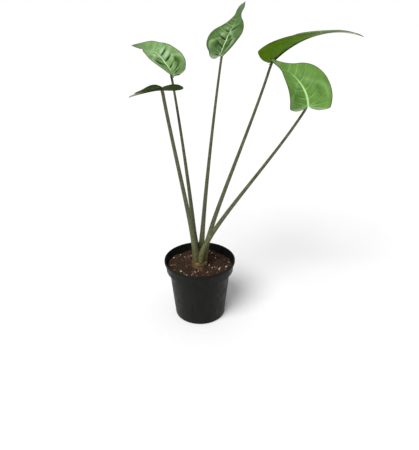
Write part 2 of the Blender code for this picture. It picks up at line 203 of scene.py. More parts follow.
LEAVES = (
    Leaf("left", joint=(-0.0419, 0.0370, 0.4329), length=0.135, width=0.91, tail=0.97,
         shoulder=0.0, heading=(166, 118, 156), pitch=(65, 10, 4), roll=(-12, 6, 60),
         fold_left=(17, -11), fold_right=(33, 50), lobe=(0.6, 0.6), cup=(0.30, 0.30),
         foot_angle=142, stalk_radius=0.0019, lean=0.20, quilting=1.2, age=GROWN_AGE, dip=0.68),
    Leaf("left_low", joint=(-0.0523, -0.0310, 0.4242), length=0.137, width=0.97, tail=0.25,
         shoulder=0.0, heading=(117, 125, 116), pitch=(-16, -13, -17), roll=(-19, -18, -5),
         fold_left=(-14, -35), fold_right=(27, -2), lobe=(1.17, 1.05), cup=(0.20, 0.20),
         foot_angle=214, stalk_radius=0.0026, lean=-0.05, quilting=0.2, age=1.0, dip=0.55),
    Leaf("middle", joint=(0.0360, 0.0440, 0.4633), length=0.126, width=1.11, tail=0.37,
         shoulder=0.83, heading=(20, 65, 72), pitch=(71, 37, 20), roll=(30, 36, 46),
         fold_left=(30, 48), fold_right=(-5, -25), lobe=(0.47, 0.44), cup=(-0.08, 0.27),
         foot_angle=70, stalk_radius=0.0019, lean=0.25, quilting=1.3, age=0.8, dip=0.54),
    Leaf("right", joint=(0.1147, 0.0310, 0.4526), length=0.178, width=1.08, tail=0.0,
         shoulder=0.5, heading=(-6, 17, 30), pitch=(47, 11, -17), roll=(33, 14, 9),
         fold_left=(26, 26), fold_right=(-8, 8), lobe=(0.69, 0.40), cup=(0.19, 0.12),
         foot_angle=-2, stalk_radius=0.0021, lean=-0.08, quilting=0.35, age=0.67, dip=0.55),
    Leaf("right_low", joint=(0.1562, -0.0780, 0.4049), length=0.120, width=1.11, tail=0.0,
         shoulder=0.0, heading=(149, 128, 87), pitch=(86, 23, 14), roll=(57, 22, 5),
         fold_left=(21, 48), fold_right=(40, 50), lobe=(0.8, 0.8), cup=(0.35, 0.35),
         foot_angle=-74, stalk_radius=0.0019, lean=0.10, quilting=0.4, age=0.0, dip=0.55),
)


def paint(code):
    """An sRGB hex colour as linear red, green, blue and alpha."""
    parts = (int(code[place:place + 2], 16) / 255 for place in (1, 3, 5))
    return (*((part / 12.92 if part < 0.04045 else ((part + 0.055) / 1.055)**2.4)
              for part in parts), 1.0)


def pick(sockets, key):
    """The socket with that number, or the first one in use with that name."""
    if isinstance(key, int):
        return sockets[key]
    return next(socket for socket in sockets if socket.enabled and socket.name == key)


def add(tree, kind, inputs=None, **settings):
    """Adds a node with its settings. An input is a value, a socket, or a node's first output."""
    made = tree.nodes.new("ShaderNode" + kind)
    for name, value in settings.items():
        setattr(made, name, value)
    for key, value in (inputs or {}).items():
        if isinstance(value, bpy.types.Node):
            value = next(socket for socket in value.outputs if socket.enabled)
        if isinstance(value, bpy.types.NodeSocket):
            tree.links.new(value, pick(made.inputs, key))
        else:
            pick(made.inputs, key).default_value = value
    return made


def new_material(name):
    """A material and its empty node tree."""
    material = bpy.data.materials.new(name)
    material.use_nodes = True
    material.node_tree.nodes.clear()
    return material, material.node_tree


def finished(material, colour, rough, gloss, bumps=None):
    """Gives a material its surface. bumps are their height's socket, their depth in metres and
    their strength."""
    tree = material.node_tree
    surface = {"Base Color": colour, "Roughness": rough, "Specular IOR Level": gloss}
    if bumps:
        height, depth, strength = bumps
        surface["Normal"] = add(tree, "Bump", {"Height": height, "Distance": depth,
                                               "Strength": strength})
    shader = add(tree, "BsdfPrincipled", surface)
    add(tree, "OutputMaterial", {"Surface": shader})
    return material


def finish_piece(name, mesh, node, materials):
    """The object of a finished mesh, which rides on the root and stands for its solid."""
    piece = bpy.data.objects.new(name, mesh)
    bpy.context.scene.collection.objects.link(piece)
    for material in materials:
        mesh.materials.append(material)
    mesh.shade_smooth()
    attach(piece, "root")
    if node:
        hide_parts(node)
    return piece


def mesh_from(bm, name):
    mesh = bpy.data.meshes.new(name)
    bm.to_mesh(mesh)
    bm.free()
    return mesh


def soft_step(value, low, high):
    """Rises smoothly from 0 at low to 1 at high, or falls if high is the lower one."""
    share = np.clip((value - low) / (high - low), 0.0, 1.0)
    return share * share * (3 - 2 * share)


def bell(value, centre, width):
    return np.exp(-((value - centre) / width)**2)


def along(values, share):
    """Runs smoothly through three values, at the start, the middle and the end."""
    start, middle, end = values
    return (start * (2 * share - 1) * (share - 1) + middle * 4 * share * (1 - share)
            + end * share * (2 * share - 1))


class Midrib:
    """A blade's midrib, with its forward, left and up directions at each step."""

    def __init__(self, leaf):
        self.leaf = leaf
        self.share = np.linspace(0.0, 1.0, MIDRIB_STEPS + 1)
        angles = (leaf.heading, leaf.pitch, leaf.roll)
        heading, pitch, roll = (np.radians(along(values, self.share)) for values in angles)
        level = np.stack([np.cos(heading), np.sin(heading), 0 * heading], -1)
        z_axis = np.array((0.0, 0.0, 1.0))
        cos_pitch, sin_pitch = np.cos(pitch)[:, None], np.sin(pitch)[:, None]
        cos_roll, sin_roll = np.cos(roll)[:, None], np.sin(roll)[:, None]
        self.forward = level * cos_pitch + z_axis * sin_pitch
        upward = z_axis * cos_pitch - level * sin_pitch
        leftward = np.cross(upward, self.forward)
        self.up = upward * cos_roll + leftward * sin_roll
        self.left = leftward * cos_roll - upward * sin_roll
        steps = (self.forward[1:] + self.forward[:-1]) / 2 * leaf.length / MIDRIB_STEPS
        self.place = np.array(leaf.joint) + np.vstack([np.zeros(3), np.cumsum(steps, axis=0)])

    def frame(self, share, side=1.0):
        """Place, forward, left and up; behind the joint the frame curls into the lobe of a side,
        upwards, or downwards where its cup is less than 0."""
        clipped = np.clip(share, 0.0, 1.0)
        place, forward, left, up = (
            np.stack([np.interp(clipped, self.share, table[:, axis]) for axis in range(3)], -1)
            for table in (self.place, self.forward, self.left, self.up))
        cup = np.where(np.asarray(side) > 0, *self.leaf.cup)[..., None]
        turn = np.maximum(-np.asarray(share), 0.0)[..., None] / cup
        radius = cup * self.leaf.length
        place = place - forward * np.sin(turn) * radius + up * (1 - np.cos(turn)) * radius
        return place, forward, left, up * np.cos(turn) + forward * np.sin(turn)


def row_margin(leaf, row):
    """Where the rows meet the margin. Rows 0, 2, 4 and so on lie on side veins."""
    points = np.array(OUTLINE)
    points[:, 1] += leaf.tail * np.array(TAIL_SPARE) + leaf.shoulder * np.array(SHOULDER_SPARE)
    length = np.append(0.0, np.cumsum(np.linalg.norm(np.diff(points, axis=0), axis=1)))
    slope = np.gradient(points, length, axis=0)
    body = np.interp(TAIL_START, points[4:, 0], length[4:])
    last = 2 * SIDE_VEINS
    distance = np.where(row <= last, body * row / last,
                        body + (length[-1] - body) * (row - last) / TAIL_ROWS)
    span = np.clip(np.searchsorted(length, distance, side="right") - 1, 0, len(length) - 2)
    size = (length[span + 1] - length[span])[..., None]
    x = (distance - length[span])[..., None] / size
    curve = ((2 * x**3 - 3 * x**2 + 1) * points[span] + (x**3 - 2 * x**2 + x) * size * slope[span]
             + (3 * x**2 - 2 * x**3) * points[span + 1] + (x**3 - x**2) * size * slope[span + 1])
    return curve[..., 0], curve[..., 1]


def row_point(leaf, row, out):
    """The points of the rows, from 0 at the midrib to 1 at the margin: along and out."""
    end, half = row_margin(leaf, row)
    start = np.maximum(0.0, end - VEIN_SWEEP * half / HALF_WIDTH)
    steep = np.minimum(start / VEIN_SWEEP, 1.0)
    bend, bend_out = start + (0.5 - 0.3 * steep) * (end - start), (0.5 + 0.1 * steep) * half
    place = (1 - out)**2 * start + 2 * out * (1 - out) * bend + out**2 * end
    return place, 2 * out * (1 - out) * bend_out + out**2 * half


def column_power(leaf, row):
    """How the columns are spaced: in the fan round the joint, the first one is a ring."""
    start, _ = row_point(leaf, row, 0.0)
    end, half = row_margin(leaf, row)
    ring = JOINT_RING / (np.hypot(end, half) * leaf.length + MERGE)
    fan = np.minimum(np.log(ring) / math.log(1 / COLUMNS), MIDRIB_POWER)
    return np.where(start > 0.0, MIDRIB_POWER, fan)


def vein_gap(row, pitch):
    """How far a point is from its nearest side vein, in metres, towards the tip if positive."""
    return (row / 2 - np.round(row / 2)) * pitch


def from_joint(leaf, place, half):
    """From 0 at the joint, where the rows crowd together, to 1 where they have spread."""
    return np.minimum(np.hypot(place, half) * leaf.length / SPREAD_RADIUS, 1.0)**2


def creases(leaf, row, side, pitch, reach):
    """A pointed crease beside each side vein, longer at some veins than at others."""
    vary = 1 + CREASE_VARIES * np.sin(2.1 * np.round(row / 2) + 1.7 * side + 60 * leaf.length)
    shown = soft_step(reach, *CREASE_START) * soft_step(reach / vary, *CREASE_END)
    width = CREASE_HALF_WIDTH + CREASE_WIDENS * reach
    return shown * bell(vein_gap(row, pitch), CREASE_OFF_VEIN, width)


def forms(leaf, row, out, side, pitch):
    """The forms of the upper face, each from 0 to 1: a crease beside each side vein, a quilt
    between two veins, and the hollow and the ridge that part them from the smooth outer band."""
    place, half = row_point(leaf, row, out)
    spread = from_joint(leaf, place, half)
    crease = creases(leaf, row, side, pitch, half * leaf.length * leaf.width)
    quilt = np.abs(np.sin(np.pi * row / 2))**1.2 * np.clip((2 * SIDE_VEINS - row) / 4, 0.0, 1.0)
    ring = leaf.dip + RIDGE_OUT - RIDGE_CLOSES * soft_step(row, *RIDGE_CLOSING_ROWS)
    ridge = bell(out, ring, RIDGE_HALF_WIDTH) * bell(row, MIDDLE_ROW, RIDGE_ROWS)
    return {
        "crease": crease * np.minimum(spread * 6, 1.0) * soft_step(place, *CREASE_FADE),
        "quilt": spread * quilt * np.minimum(out / QUILT_FOOT, 1.0) * soft_step(out, *QUILT_FADE),
        "hollow": bell(out, leaf.dip, HOLLOW_HALF_WIDTH) * bell(row, MIDDLE_ROW, HOLLOW_ROWS),
        "ridge": ridge * soft_step(out, *RIDGE_FADE)}


def relief(leaf, row, out, side, form):
    """How far the upper face rises, with a groove along the midrib."""
    reach = row_point(leaf, row, out)[1] * leaf.length * leaf.width
    rise = (QUILT_HEIGHT * form["quilt"] + RIDGE_HEIGHT * form["ridge"]
            - HOLLOW_DEPTH * form["hollow"] - CREASE_DEPTH * form["crease"]
            + WAVE_HEIGHT * np.sin(1.1 * row + side) * out**2)
    return leaf.quilting * rise - GROOVE_DEPTH * bell(reach, 0.0, GROOVE_HALF_WIDTH)


def blade_arrays(leaf):
    """The upper face's points, what its skin is drawn from, the shares of its forms and its
    thickness, for each row and column."""
    rows = 2 * SIDE_VEINS + TAIL_ROWS
    row = np.linspace(0, rows, rows * ROW_STEPS + 1)[:, None]
    across = np.linspace(-1.0, 1.0, 2 * COLUMNS + 1)[None, :]
    side = np.where(across > 0, -1.0, 1.0)
    out = np.abs(across)**column_power(leaf, row)
    row = row + 0 * out
    bare, up, place, reach = blade_sheet(leaf, row, out, side)
    pitch = np.linalg.norm(np.gradient(bare, axis=0), axis=-1) * 2 * ROW_STEPS
    form = forms(leaf, row, out, side, pitch)
    points = bare + up * relief(leaf, row, out, side, form)[..., None]
    margin = np.linalg.norm(bare - bare[:, [0, -1], :][:, (across[0] > 0).astype(int), :], axis=-1)
    skin = {
        "vein_number": row / 2, "vein_pitch": pitch / MM, "from_midrib": reach / MM,
        "from_margin": margin / MM, "along_blade": place, "age": 0 * out + leaf.age}
    shares = np.stack([form["crease"], form["quilt"], form["ridge"] - form["hollow"]], -1)
    return points, skin, shares * min(leaf.quilting, 1.0), thickness(leaf, row, out, pitch)


def blade_sheet(leaf, row, out, side):
    """The folded blade before its relief: its points, their up directions, and how far along the
    midrib and how far out from it they are."""
    place, half = row_point(leaf, row, out)
    lobe = np.where(side > 0, *leaf.lobe)
    start, _, left, up = Midrib(leaf).frame(np.where(place < 0, place * lobe, place), side)
    inner, outer = (np.where(side > 0, *pair) for pair in zip(leaf.fold_left, leaf.fold_right))
    fold = np.radians(inner + (outer - inner) * half / HALF_WIDTH / 2)
    reach = half * leaf.length * leaf.width
    flat = start + left * (side * reach * np.cos(fold))[..., None]
    return flat + up * (reach * np.sin(fold))[..., None], up, place, reach


def thickness(leaf, row, out, pitch):
    """Thick along the midrib's keel, a little thicker on the ribs of the side veins."""
    place, half = row_point(leaf, row, out)
    reach = np.hypot(np.minimum(place, 0.0), half) * leaf.length
    swell = np.clip(place * leaf.length / KEEL_SWELL, 0.0, 1.0)
    keel = KEEL_THICKNESS * bell(reach, 0.0, KEEL_HALF_WIDTH)
    keel *= KEEL_AT_JOINT + (1 - KEEL_AT_JOINT) * swell
    tip = KEEL_AT_TIP * soft_step(place, 1.0, TIP_START)
    keel *= np.maximum((1 - np.clip(place, 0.0, 1.0))**2, tip)
    body = soft_step(row, 2 * SIDE_VEINS + 1, 2 * SIDE_VEINS - 2) * soft_step(reach, 2 * MM, 7 * MM)
    rib = RIB_THICKNESS * bell(vein_gap(row, pitch), 0.0, RIB_HALF_WIDTH) * (1 - 0.8 * out) * body
    return SKIN_THICKNESS + keel + rib * from_joint(leaf, place, half)


def blade_mesh(leaf):
    """The upper face as an open sheet, with its skin's measures, its forms in one vector, and its
    thickness."""
    points, skin, shares, thick = blade_arrays(leaf)
    rows, columns = points.shape[0] - 1, points.shape[1] - 1
    bm = bmesh.new()
    bmesh.ops.create_grid(bm, x_segments=columns, y_segments=rows, size=1.0)
    weights = bm.verts.layers.deform.verify()
    layers = {name: bm.verts.layers.float.new(name) for name in skin}
    relief_forms = bm.verts.layers.float_vector.new("forms")
    most = thick.max()
    for vertex in bm.verts:
        at = round((vertex.co.y + 1) / 2 * rows), round((vertex.co.x + 1) / 2 * columns)
        vertex.co = points[at]
        vertex[weights][0] = thick[at] / most
        vertex[relief_forms] = shares[at]
        for name, layer in layers.items():
            vertex[layer] = skin[name][at]
    bmesh.ops.remove_doubles(bm, verts=bm.verts, dist=MERGE)
    bmesh.ops.dissolve_degenerate(bm, edges=bm.edges, dist=MERGE)
    return mesh_from(bm, "blade_" + leaf.name), most


def make_blade(leaf, materials):
    """A blade: upper skin, under skin and margin, in one closed piece."""
    mesh, most = blade_mesh(leaf)
    blade = finish_piece("leaf_blade_" + leaf.name, mesh, "blade_" + leaf.name,
                         materials)
    blade.vertex_groups.new(name="thickness")
    solid = blade.modifiers.new("thickness", "SOLIDIFY")
    solid.thickness = most
    solid.offset = -1.0
    solid.vertex_group = "thickness"
    solid.material_offset = 1
    solid.material_offset_rim = 2
    return blade


def leaf_measures(tree):
    """The blade's own measures: its attributes, and the way to the nearest side vein in mm. The
    swell is 1 on the ridge and -1 in the hollow."""
    read = {name: add(tree, "Attribute", attribute_name=name).outputs["Fac"]
            for name in ("vein_number", "vein_pitch", "from_midrib", "from_margin", "along_blade",
                         "age")}
    shares = add(tree, "Attribute", attribute_name="forms").outputs["Vector"]
    parts = add(tree, "SeparateXYZ", {"Vector": shares}).outputs
    read.update(crease=parts["X"], quilt=parts["Y"], swell=parts["Z"])
    nearest = add(tree, "Math", {0: read["vein_number"]}, operation="ROUND")
    share = add(tree, "Math", {0: read["vein_number"], 1: nearest}, operation="SUBTRACT")
    read["vein_gap"] = add(tree, "Math", {0: share, 1: read["vein_pitch"]}, operation="MULTIPLY")
    return read


def band(tree, value, centre, half, soft, strength=1.0):
    """Strength within half of the centre, falling to 0 over soft."""
    off = add(tree, "Math", {0: value, 1: centre}, operation="SUBTRACT")
    size = add(tree, "Math", {0: off}, operation="ABSOLUTE")
    return add(tree, "MapRange", {"Value": size, "From Min": half + soft, "From Max": half,
                                  "To Max": strength}, interpolation_type="SMOOTHSTEP")


def vein_lines(tree, at, near, far):
    """The side veins as fine lines, near at the midrib and far at the margin, fading in the tail.
    They are clearest on a grown leaf."""
    line = band(tree, at["vein_gap"], 0.0, 0.25, 0.8)
    strength = add(tree, "MapRange", {"Value": at["from_midrib"], "From Min": 2.0, "From Max": 30.0,
                                      "To Min": near, "To Max": far})
    body = add(tree, "MapRange", {"Value": at["along_blade"], "From Min": 0.62, "From Max": 0.48})
    shown = add(tree, "Math", {0: line, 1: strength}, operation="MULTIPLY")
    clear = add(tree, "Math", {0: body, 1: band(tree, at["age"], 0.45, 0.15, 0.6)},
                operation="MULTIPLY")
    return add(tree, "Math", {0: shown, 1: clear}, operation="MULTIPLY")


def layered(tree, ground, layers):
    """Lays colours over a ground colour, from the bottom up, each by its share."""
    for share, colour in layers:
        ground = add(tree, "Mix", {"Factor": share, "A": ground, "B": paint(colour)},
                     data_type="RGBA")
    return ground


def aged_and_shaded_green(tree, age, fresh, grown, old):
    """A leaf's green: fresh at age 0, grown at GROWN_AGE and old at 1, the old green
    standing partly for painted shade.
    """
    shares = [add(tree, "MapRange", {"Value": age, "From Min": start, "From Max": end},
                  interpolation_type="SMOOTHSTEP")
              for start, end in ((0.0, GROWN_AGE), (GROWN_AGE, 1.0))]
    return layered(tree, paint(fresh), zip(shares, (grown, old)))


def clouded_green(tree, age, size, pale, deep):
    """A leaf's ground colour: soft clouds of a pale and a deep green, which both change with
    age.
    """
    place = add(tree, "TexCoord").outputs["Object"]
    clouds = add(tree, "TexNoise", {"Vector": place, "Scale": 1 / size, "Detail": 3.0})
    cloudy = add(tree, "MapRange", {"Value": clouds, "From Min": 0.35, "From Max": 0.65})
    return add(tree, "Mix", {"Factor": cloudy, "A": aged_and_shaded_green(tree, age, *pale),
                             "B": aged_and_shaded_green(tree, age, *deep)}, data_type="RGBA")


def net(tree, strength):
    """The fine net of veins in the skin: strength on a line, 0 in a cell. Real cells are about
    0.7 mm wide, too fine to show."""
    place = add(tree, "TexCoord").outputs["Object"]
    bend = add(tree, "TexNoise", {"Vector": place, "Scale": 400.0, "Detail": 1.0})
    bent = add(tree, "Mix", {"Factor": NET_BEND, "A": place, "B": bend.outputs["Color"]},
               data_type="VECTOR")
    cells = add(tree, "TexVoronoi", {"Vector": bent, "Scale": 1 / NET_CELL},
                feature="DISTANCE_TO_EDGE")
    return add(tree, "MapRange", {"Value": cells, "From Min": 0.12, "From Max": 0.0,
                                  "To Max": strength}, interpolation_type="SMOOTHSTEP")


def pale_middle(tree, at):
    """The pale stripe on the midrib: wide at the joint, and fading towards the tail."""
    half = add(tree, "MapRange", {"Value": at["along_blade"], "From Min": 0.05, "From Max": 0.6,
                                  "To Min": 1.5, "To Max": 0.5})
    widths = add(tree, "Math", {0: at["from_midrib"], 1: half}, operation="DIVIDE")
    fade = add(tree, "MapRange", {"Value": at["along_blade"], "From Min": 0.5, "From Max": 0.2,
                                  "To Min": 0.1})
    return add(tree, "Math", {0: band(tree, widths, 0.0, 0.8, 0.6), 1: fade},
               operation="MULTIPLY")


def painted_quilt_highlight(tree, at):
    """A painted blue-white highlight on the middle quilts of a grown leaf."""
    highlight_share = add(tree, "Math", {0: band(tree, at["age"], GROWN_AGE, 0.05, 0.25),
                              1: band(tree, at["along_blade"], 0.33, 0.04, 0.12, 0.45)},
               operation="MULTIPLY")
    return add(tree, "Math", {0: at["quilt"], 1: highlight_share}, operation="MULTIPLY")


def upper_layers(tree, at):
    """What lies over the ground colour of the upper skin, from the bottom up."""
    tail = add(tree, "MapRange", {"Value": at["along_blade"], "From Min": 0.5, "From Max": 0.9,
                                  "To Max": 0.6})
    lobe = add(tree, "MapRange", {"Value": at["along_blade"], "From Max": -0.05, "To Max": 0.75})
    # Painted highlight: the quilts' tops are painted paler where they bulge up into the light.
    quilt = add(tree, "Math", {0: at["quilt"], 1: 0.35}, operation="MULTIPLY")
    # Painted highlight: the ridge beyond the quilts is painted paler.
    ridge = add(tree, "MapRange", {"Value": at["swell"], "To Max": 0.6})
    # Painted shade: the soft hollow between the quilts and the outer band is painted dark.
    hollow = add(tree, "MapRange", {"Value": at["swell"], "From Max": -0.9, "To Max": 0.8})
    # Painted shade: the creases beside the side veins are painted dark, over their own sunken form.
    crease = add(tree, "MapRange", {"Value": at["crease"], "From Min": 0.15, "From Max": 0.75,
                                    "To Max": 0.9}, interpolation_type="SMOOTHSTEP")
    return (
        (tail, "#66785a"), (lobe, "#9aab8a"), (quilt, "#a9c795"), (painted_quilt_highlight(tree, at), "#c6d8cc"),
        (net(tree, 0.08), "#a5c48d"), (vein_lines(tree, at, 0.75, 0.10), "#a9c795"),
        (ridge, "#a9c795"), (hollow, "#1c3a0c"), (crease, "#1d380b"),
        (pale_middle(tree, at), "#bcd8a0"),
        (band(tree, at["from_margin"], 0.0, 0.5, 1.0, 0.85), "#4e4536"))


def make_upper_skin():
    """A leaf's upper skin, satin green under a coat of wax, with painted highlights on its quilts
    and on the ridge beyond them and a blue-white painted highlight on a grown leaf's middle quilts,
    painted shade in the creases and hollows, pale veins and a thin purple-brown edge."""
    material, tree = new_material("leaf_upper_skin")
    at = leaf_measures(tree)
    ground = clouded_green(tree, at["age"], 0.012, ("#648f3a", "#7ea361", "#2e5404"),
                           ("#527b2f", "#608646", "#204002"))
    green = layered(tree, ground, upper_layers(tree, at))
    place = add(tree, "TexCoord").outputs["Object"]
    wax = add(tree, "TexNoise", {"Vector": place, "Scale": 1 / 0.004, "Detail": 3.0})
    rough = add(tree, "MapRange", {"Value": wax, "From Min": 0.3, "From Max": 0.7,
                                   "To Min": 0.4, "To Max": 0.56})
    return finished(material, green, rough, gloss=0.1, bumps=(net(tree, -1.0), 0.00006, 0.5))


def under_layers(tree, at):
    """What lies over the ground colour of the under skin, from the bottom up."""
    tail = add(tree, "MapRange", {"Value": at["along_blade"], "From Min": 0.35, "From Max": 0.82,
                                  "To Max": 0.92})
    tip = add(tree, "MapRange", {"Value": at["along_blade"], "From Min": 0.88, "From Max": 0.97,
                                 "To Max": 0.8})
    joint = add(tree, "MapRange", {"Value": at["from_midrib"], "From Min": 16.0, "From Max": 2.0,
                                   "To Max": 0.45})
    body = add(tree, "MapRange", {"Value": at["along_blade"], "From Min": 0.8, "From Max": 0.45})
    # Painted shade: the band along the keel is painted nearly black, where the folded halves shade
    # it.
    keel = add(tree, "Math", {0: band(tree, at["from_midrib"], 0.0, 2.2, 1.8, 0.9), 1: body},
               operation="MULTIPLY")
    return (
        (joint, "#2f4402"), (tail, "#b6bda2"), (tip, "#4c4f38"), (net(tree, 0.10), "#38520a"),
        (vein_lines(tree, at, 0.30, 0.06), "#7b9634"), (keel, "#1a2408"),
        (band(tree, at["from_margin"], 0.0, 0.25, 0.8, 0.75), "#3e4420"))


def make_under_skin():
    """A leaf's matt under skin: a full olive, partly its own colour and partly painted light
    shining through the leaf, darker towards the joint, with raised veins, a keel painted nearly
    black as painted shade, and a grey-green tail."""
    material, tree = new_material("leaf_under_skin")
    at = leaf_measures(tree)
    # The bright full olive is partly the under skin's own colour and partly painted light shining
    # through the thin leaf.
    ground = clouded_green(tree, at["age"], 0.015, ("#73a410", "#73a410", "#263c00"),
                           ("#639208", "#639208", "#203200"))
    green = layered(tree, ground, under_layers(tree, at))
    return finished(material, green, 0.65, gloss=0.03, bumps=(net(tree, 1.0), 0.00006, 0.5))


def make_margin_skin():
    """The thin dry edge of a leaf: brown, with a trace of purple."""
    material, tree = new_material("leaf_margin_skin")
    place = add(tree, "TexCoord").outputs["Object"]
    patches = add(tree, "TexNoise", {"Vector": place, "Scale": 1 / 0.006, "Detail": 3.0})
    share = add(tree, "MapRange", {"Value": patches, "From Min": 0.4, "From Max": 0.6})
    brown = layered(tree, paint("#5c5636"), [(share, "#44382c")])
    return finished(material, brown, 0.6, gloss=0.3)


def stalk_foot(leaf):
    """Where the stalk starts to lean, a little above its flat foot on the stem."""
    angle = math.radians(leaf.foot_angle)
    ring = STALK_RING_RADIUS
    return np.array((ring * math.cos(angle), ring * math.sin(angle), STEM_Z + STALK_FOOT_RISE))


def stalk_route(leaf):
    """The stalk's line: up from the stem, leaning to the joint, then bending into the midrib."""
    place, forward, _, up = (value[0] for value in Midrib(leaf).frame(np.zeros(1)))
    end = place - up * STUB_SINK
    foot = stalk_foot(leaf)
    reach = np.linalg.norm(end - foot)
    aim = (end - foot) / reach + leaf.lean * forward
    rise = foot + np.array((0.0, 0.0, STALK_RISE * reach))
    lead = end - aim / np.linalg.norm(aim) * STALK_LEAD * reach
    share = np.linspace(0.0, 1 - STUB_LENGTH / reach, STALK_STEPS)[:, None]
    rest = 1 - share
    climb = (rest**3 * foot + 3 * rest**2 * share * rise + 3 * rest * share**2 * lead
             + share**3 * end)
    turn = np.linspace(0.0, 1.0, STALK_STEPS // 10)[1:, None]
    bend = ((1 - turn)**2 * climb[-1] + 2 * turn * (1 - turn) * end
            + turn**2 * (end + forward * STUB_REACH))
    return np.vstack([foot - np.array((0.0, 0.0, STALK_FOOT_RISE)), climb, bend])


def stalk_rings(leaf):
    """Places, directions and sideways frames at even steps along a stalk, and the way up it."""
    route = stalk_route(leaf)
    length = np.append(0.0, np.cumsum(np.linalg.norm(np.diff(route, axis=0), axis=1)))
    climbed = np.linspace(0.0, length[-1], STALK_STEPS + 1)
    places = np.stack([np.interp(climbed, length, route[:, axis]) for axis in range(3)], -1)
    ahead = np.gradient(places, axis=0)
    ahead /= np.linalg.norm(ahead, axis=1)[:, None]
    angle = math.radians(leaf.foot_angle)
    inward = np.array((-math.cos(angle), -math.sin(angle), 0.0))
    first = inward - ahead * (ahead @ inward)[:, None]
    first /= np.linalg.norm(first, axis=1)[:, None]
    return climbed, places, first, np.cross(ahead, first)


def stalk_radius(leaf, climbed, angle):
    """The stalk's radius: thick at the foot, where its sheath is open towards the middle of the
    plant with a raised lip on each side, and thin at the joint."""
    share = np.clip(climbed / climbed.max(), 0.0, 1.0)
    swell = STALK_FOOT_RADIUS - leaf.stalk_radius
    radius = leaf.stalk_radius + swell * (1 - share)**1.5
    radius = radius * (1 - NECK_THINNER * soft_step(share, NECK_START, 1.0))
    sheath = soft_step(climbed, SHEATH_LENGTH * (1 + leaf.age / 2), SHEATH_WHOLE)
    off = np.abs((angle + math.pi) % math.tau - math.pi)
    lip = LIP_HEIGHT * bell(off, LIP_ANGLE, LIP_HALF_ANGLE)
    opening = OPENING_DEPTH * bell(off, 0.0, OPENING_HALF_ANGLE)
    return radius + sheath * (SHEATH_THICKNESS + lip - opening)


def stalk_mesh(leaf):
    """A stalk: a grid rolled into a tube, its ends closed."""
    climbed, places, first, second = stalk_rings(leaf)
    bm = bmesh.new()
    bmesh.ops.create_grid(bm, x_segments=STALK_SIDES, y_segments=STALK_STEPS, size=1.0)
    skin = bm.verts.layers.float_vector.new("stalk_skin")
    for vertex in bm.verts:
        step = round((vertex.co.y + 1) / 2 * STALK_STEPS)
        angle = (vertex.co.x + 1) * math.pi
        radius = float(stalk_radius(leaf, climbed, angle)[step])
        aside = first[step] * math.cos(angle) + second[step] * math.sin(angle)
        vertex.co = places[step] + aside * radius
        vertex[skin] = (radius * math.cos(angle), radius * math.sin(angle), climbed[step])
    bmesh.ops.remove_doubles(bm, verts=bm.verts, dist=MERGE)
    bmesh.ops.holes_fill(bm, edges=[edge for edge in bm.edges if edge.is_boundary])
    bmesh.ops.recalc_face_normals(bm, faces=bm.faces)
    return mesh_from(bm, "stalk_" + leaf.name)


def make_stalk_skin():
    """A stalk's skin: satin olive, mottled all the way up with short dark brown bars."""
    material, tree = new_material("mottled_stalk_skin")
    skin = add(tree, "Attribute", attribute_name="stalk_skin").outputs["Vector"]
    squeezed = add(tree, "Mapping", {"Vector": skin, "Scale": (260.0, 260.0, 760.0)})
    bars = add(tree, "TexNoise", {"Vector": squeezed, "Scale": 1.0, "Detail": 3.0,
                                  "Roughness": 0.6})
    pores = add(tree, "TexNoise", {"Vector": skin, "Scale": 2200.0, "Detail": 1.0})
    drift = add(tree, "TexNoise", {"Vector": skin, "Scale": 1 / 0.03})
    height = add(tree, "SeparateXYZ", {"Vector": skin}).outputs["Z"]
    drifted = add(tree, "MapRange", {"Value": drift, "From Min": 0.3, "From Max": 0.7})
    foot = add(tree, "MapRange", {"Value": height, "From Min": 0.09, "From Max": 0.0,
                                  "To Max": 0.6})
    barred = add(tree, "MapRange", {"Value": bars, "From Min": 0.44, "From Max": 0.56,
                                    "To Max": 0.85})
    pored = add(tree, "MapRange", {"Value": pores, "From Min": 0.55, "From Max": 0.7,
                                   "To Max": 0.35})
    green = layered(tree, paint("#606a42"), ((drifted, "#515538"), (foot, "#87875a"),
                                             (barred, "#38311f"), (pored, "#2a2519")))
    return finished(material, green, 0.42, gloss=0.4, bumps=(pores, 0.0001, 0.5))


def spun(profile, steps):
    """A bmesh of a profile of (radius, height) points spun round Z, from top to bottom."""
    bm = bmesh.new()
    points = [bm.verts.new((radius, 0.0, height)) for radius, height in profile]
    edges = [bm.edges.new(pair) for pair in zip(points, points[1:])]
    bmesh.ops.spin(bm, geom=points + edges, cent=(0, 0, 0), axis=(0, 0, 1), dvec=(0, 0, 0),
                   angle=math.tau, steps=steps, use_merge=True, use_normal_flip=False,
                   use_duplicate=False)
    bmesh.ops.remove_doubles(bm, verts=bm.verts, dist=MERGE)
    bmesh.ops.recalc_face_normals(bm, faces=bm.faces)
    return bm


